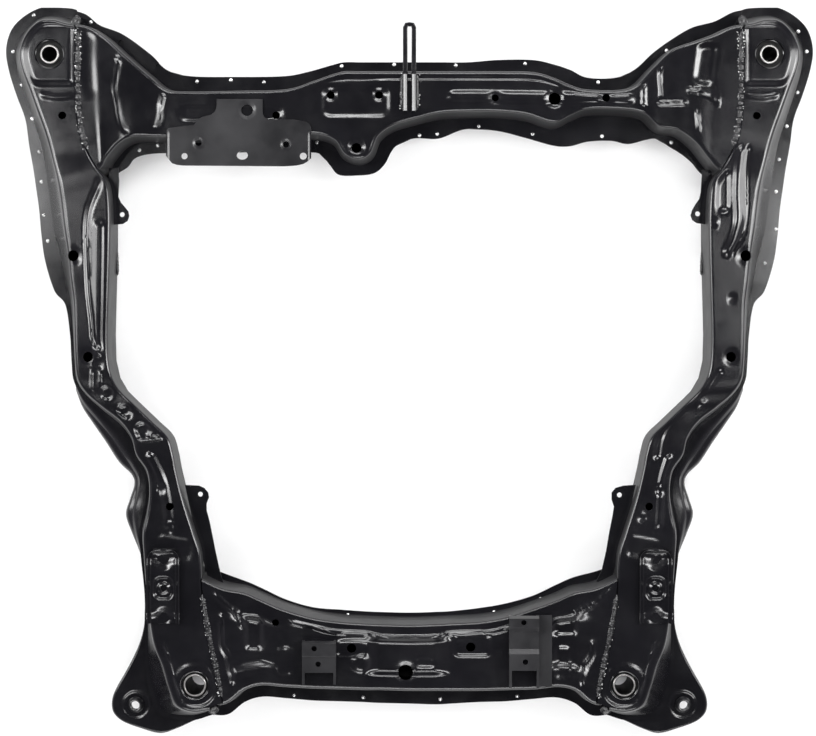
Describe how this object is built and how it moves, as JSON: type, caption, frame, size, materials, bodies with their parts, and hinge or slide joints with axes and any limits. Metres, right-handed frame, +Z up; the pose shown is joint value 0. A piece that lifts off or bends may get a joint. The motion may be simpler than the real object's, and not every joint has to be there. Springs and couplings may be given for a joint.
{
  "type": "front subframe",
  "caption": "Pressed-steel front subframe of a car: two side members flaring to bushed front corners, joined by a front and a deeper rear crossmember, with welded brackets.",
  "frame": {"origin": "on the ground under the middle of the cradle's outline", "axes": "+X across the car towards its right as the picture shows it, +Y towards the car's front, +Z up"},
  "size_m": [1.048, 0.944, 0.1332],
  "materials": {
    "black_paint": "gloss",
    "bare_steel": "satin",
    "rubber": "matte"
  },
  "bodies": {
    "root": {"bush_front_left_inner_sleeve": "bare_steel", "bush_front_left_outer_sleeve": "black_paint", "bush_front_left_rubber": "rubber", "bush_front_right_inner_sleeve": "bare_steel", "bush_front_right_outer_sleeve": "black_paint", "bush_front_right_rubber": "rubber", "bush_rear_left_inner_sleeve": "bare_steel", "bush_rear_left_outer_sleeve": "black_paint", "bush_rear_left_rubber": "rubber", "bush_rear_right_inner_sleeve": "bare_steel", "bush_rear_right_outer_sleeve": "black_paint", "bush_rear_right_rubber": "rubber", "corner_nut_left": "black_paint", "corner_nut_right": "black_paint", "front_crossmember_lower": "black_paint", "front_crossmember_upper": "black_paint", "hose_tab_front_left": "black_paint", "hose_tab_front_right": "black_paint", "hose_tab_rear_left": "black_paint", "hose_tab_rear_right": "black_paint", "lift_hook": "black_paint", "rack_bracket_left": "black_paint", "rack_bracket_right": "black_paint", "rear_corner_plate_left": "black_paint", "rear_corner_plate_right": "black_paint", "rear_crossmember_lower": "black_paint", "rear_crossmember_upper": "black_paint", "roll_mount_plate": "black_paint", "side_member_lower_left": "black_paint", "side_member_lower_right": "black_paint", "side_member_skirt_left": "black_paint", "side_member_skirt_right": "black_paint", "side_member_upper_left": "black_paint", "side_member_upper_right": "black_paint", "stabiliser_bracket_left": "black_paint", "stabiliser_bracket_right": "black_paint"}
  },
  "joints": []
}
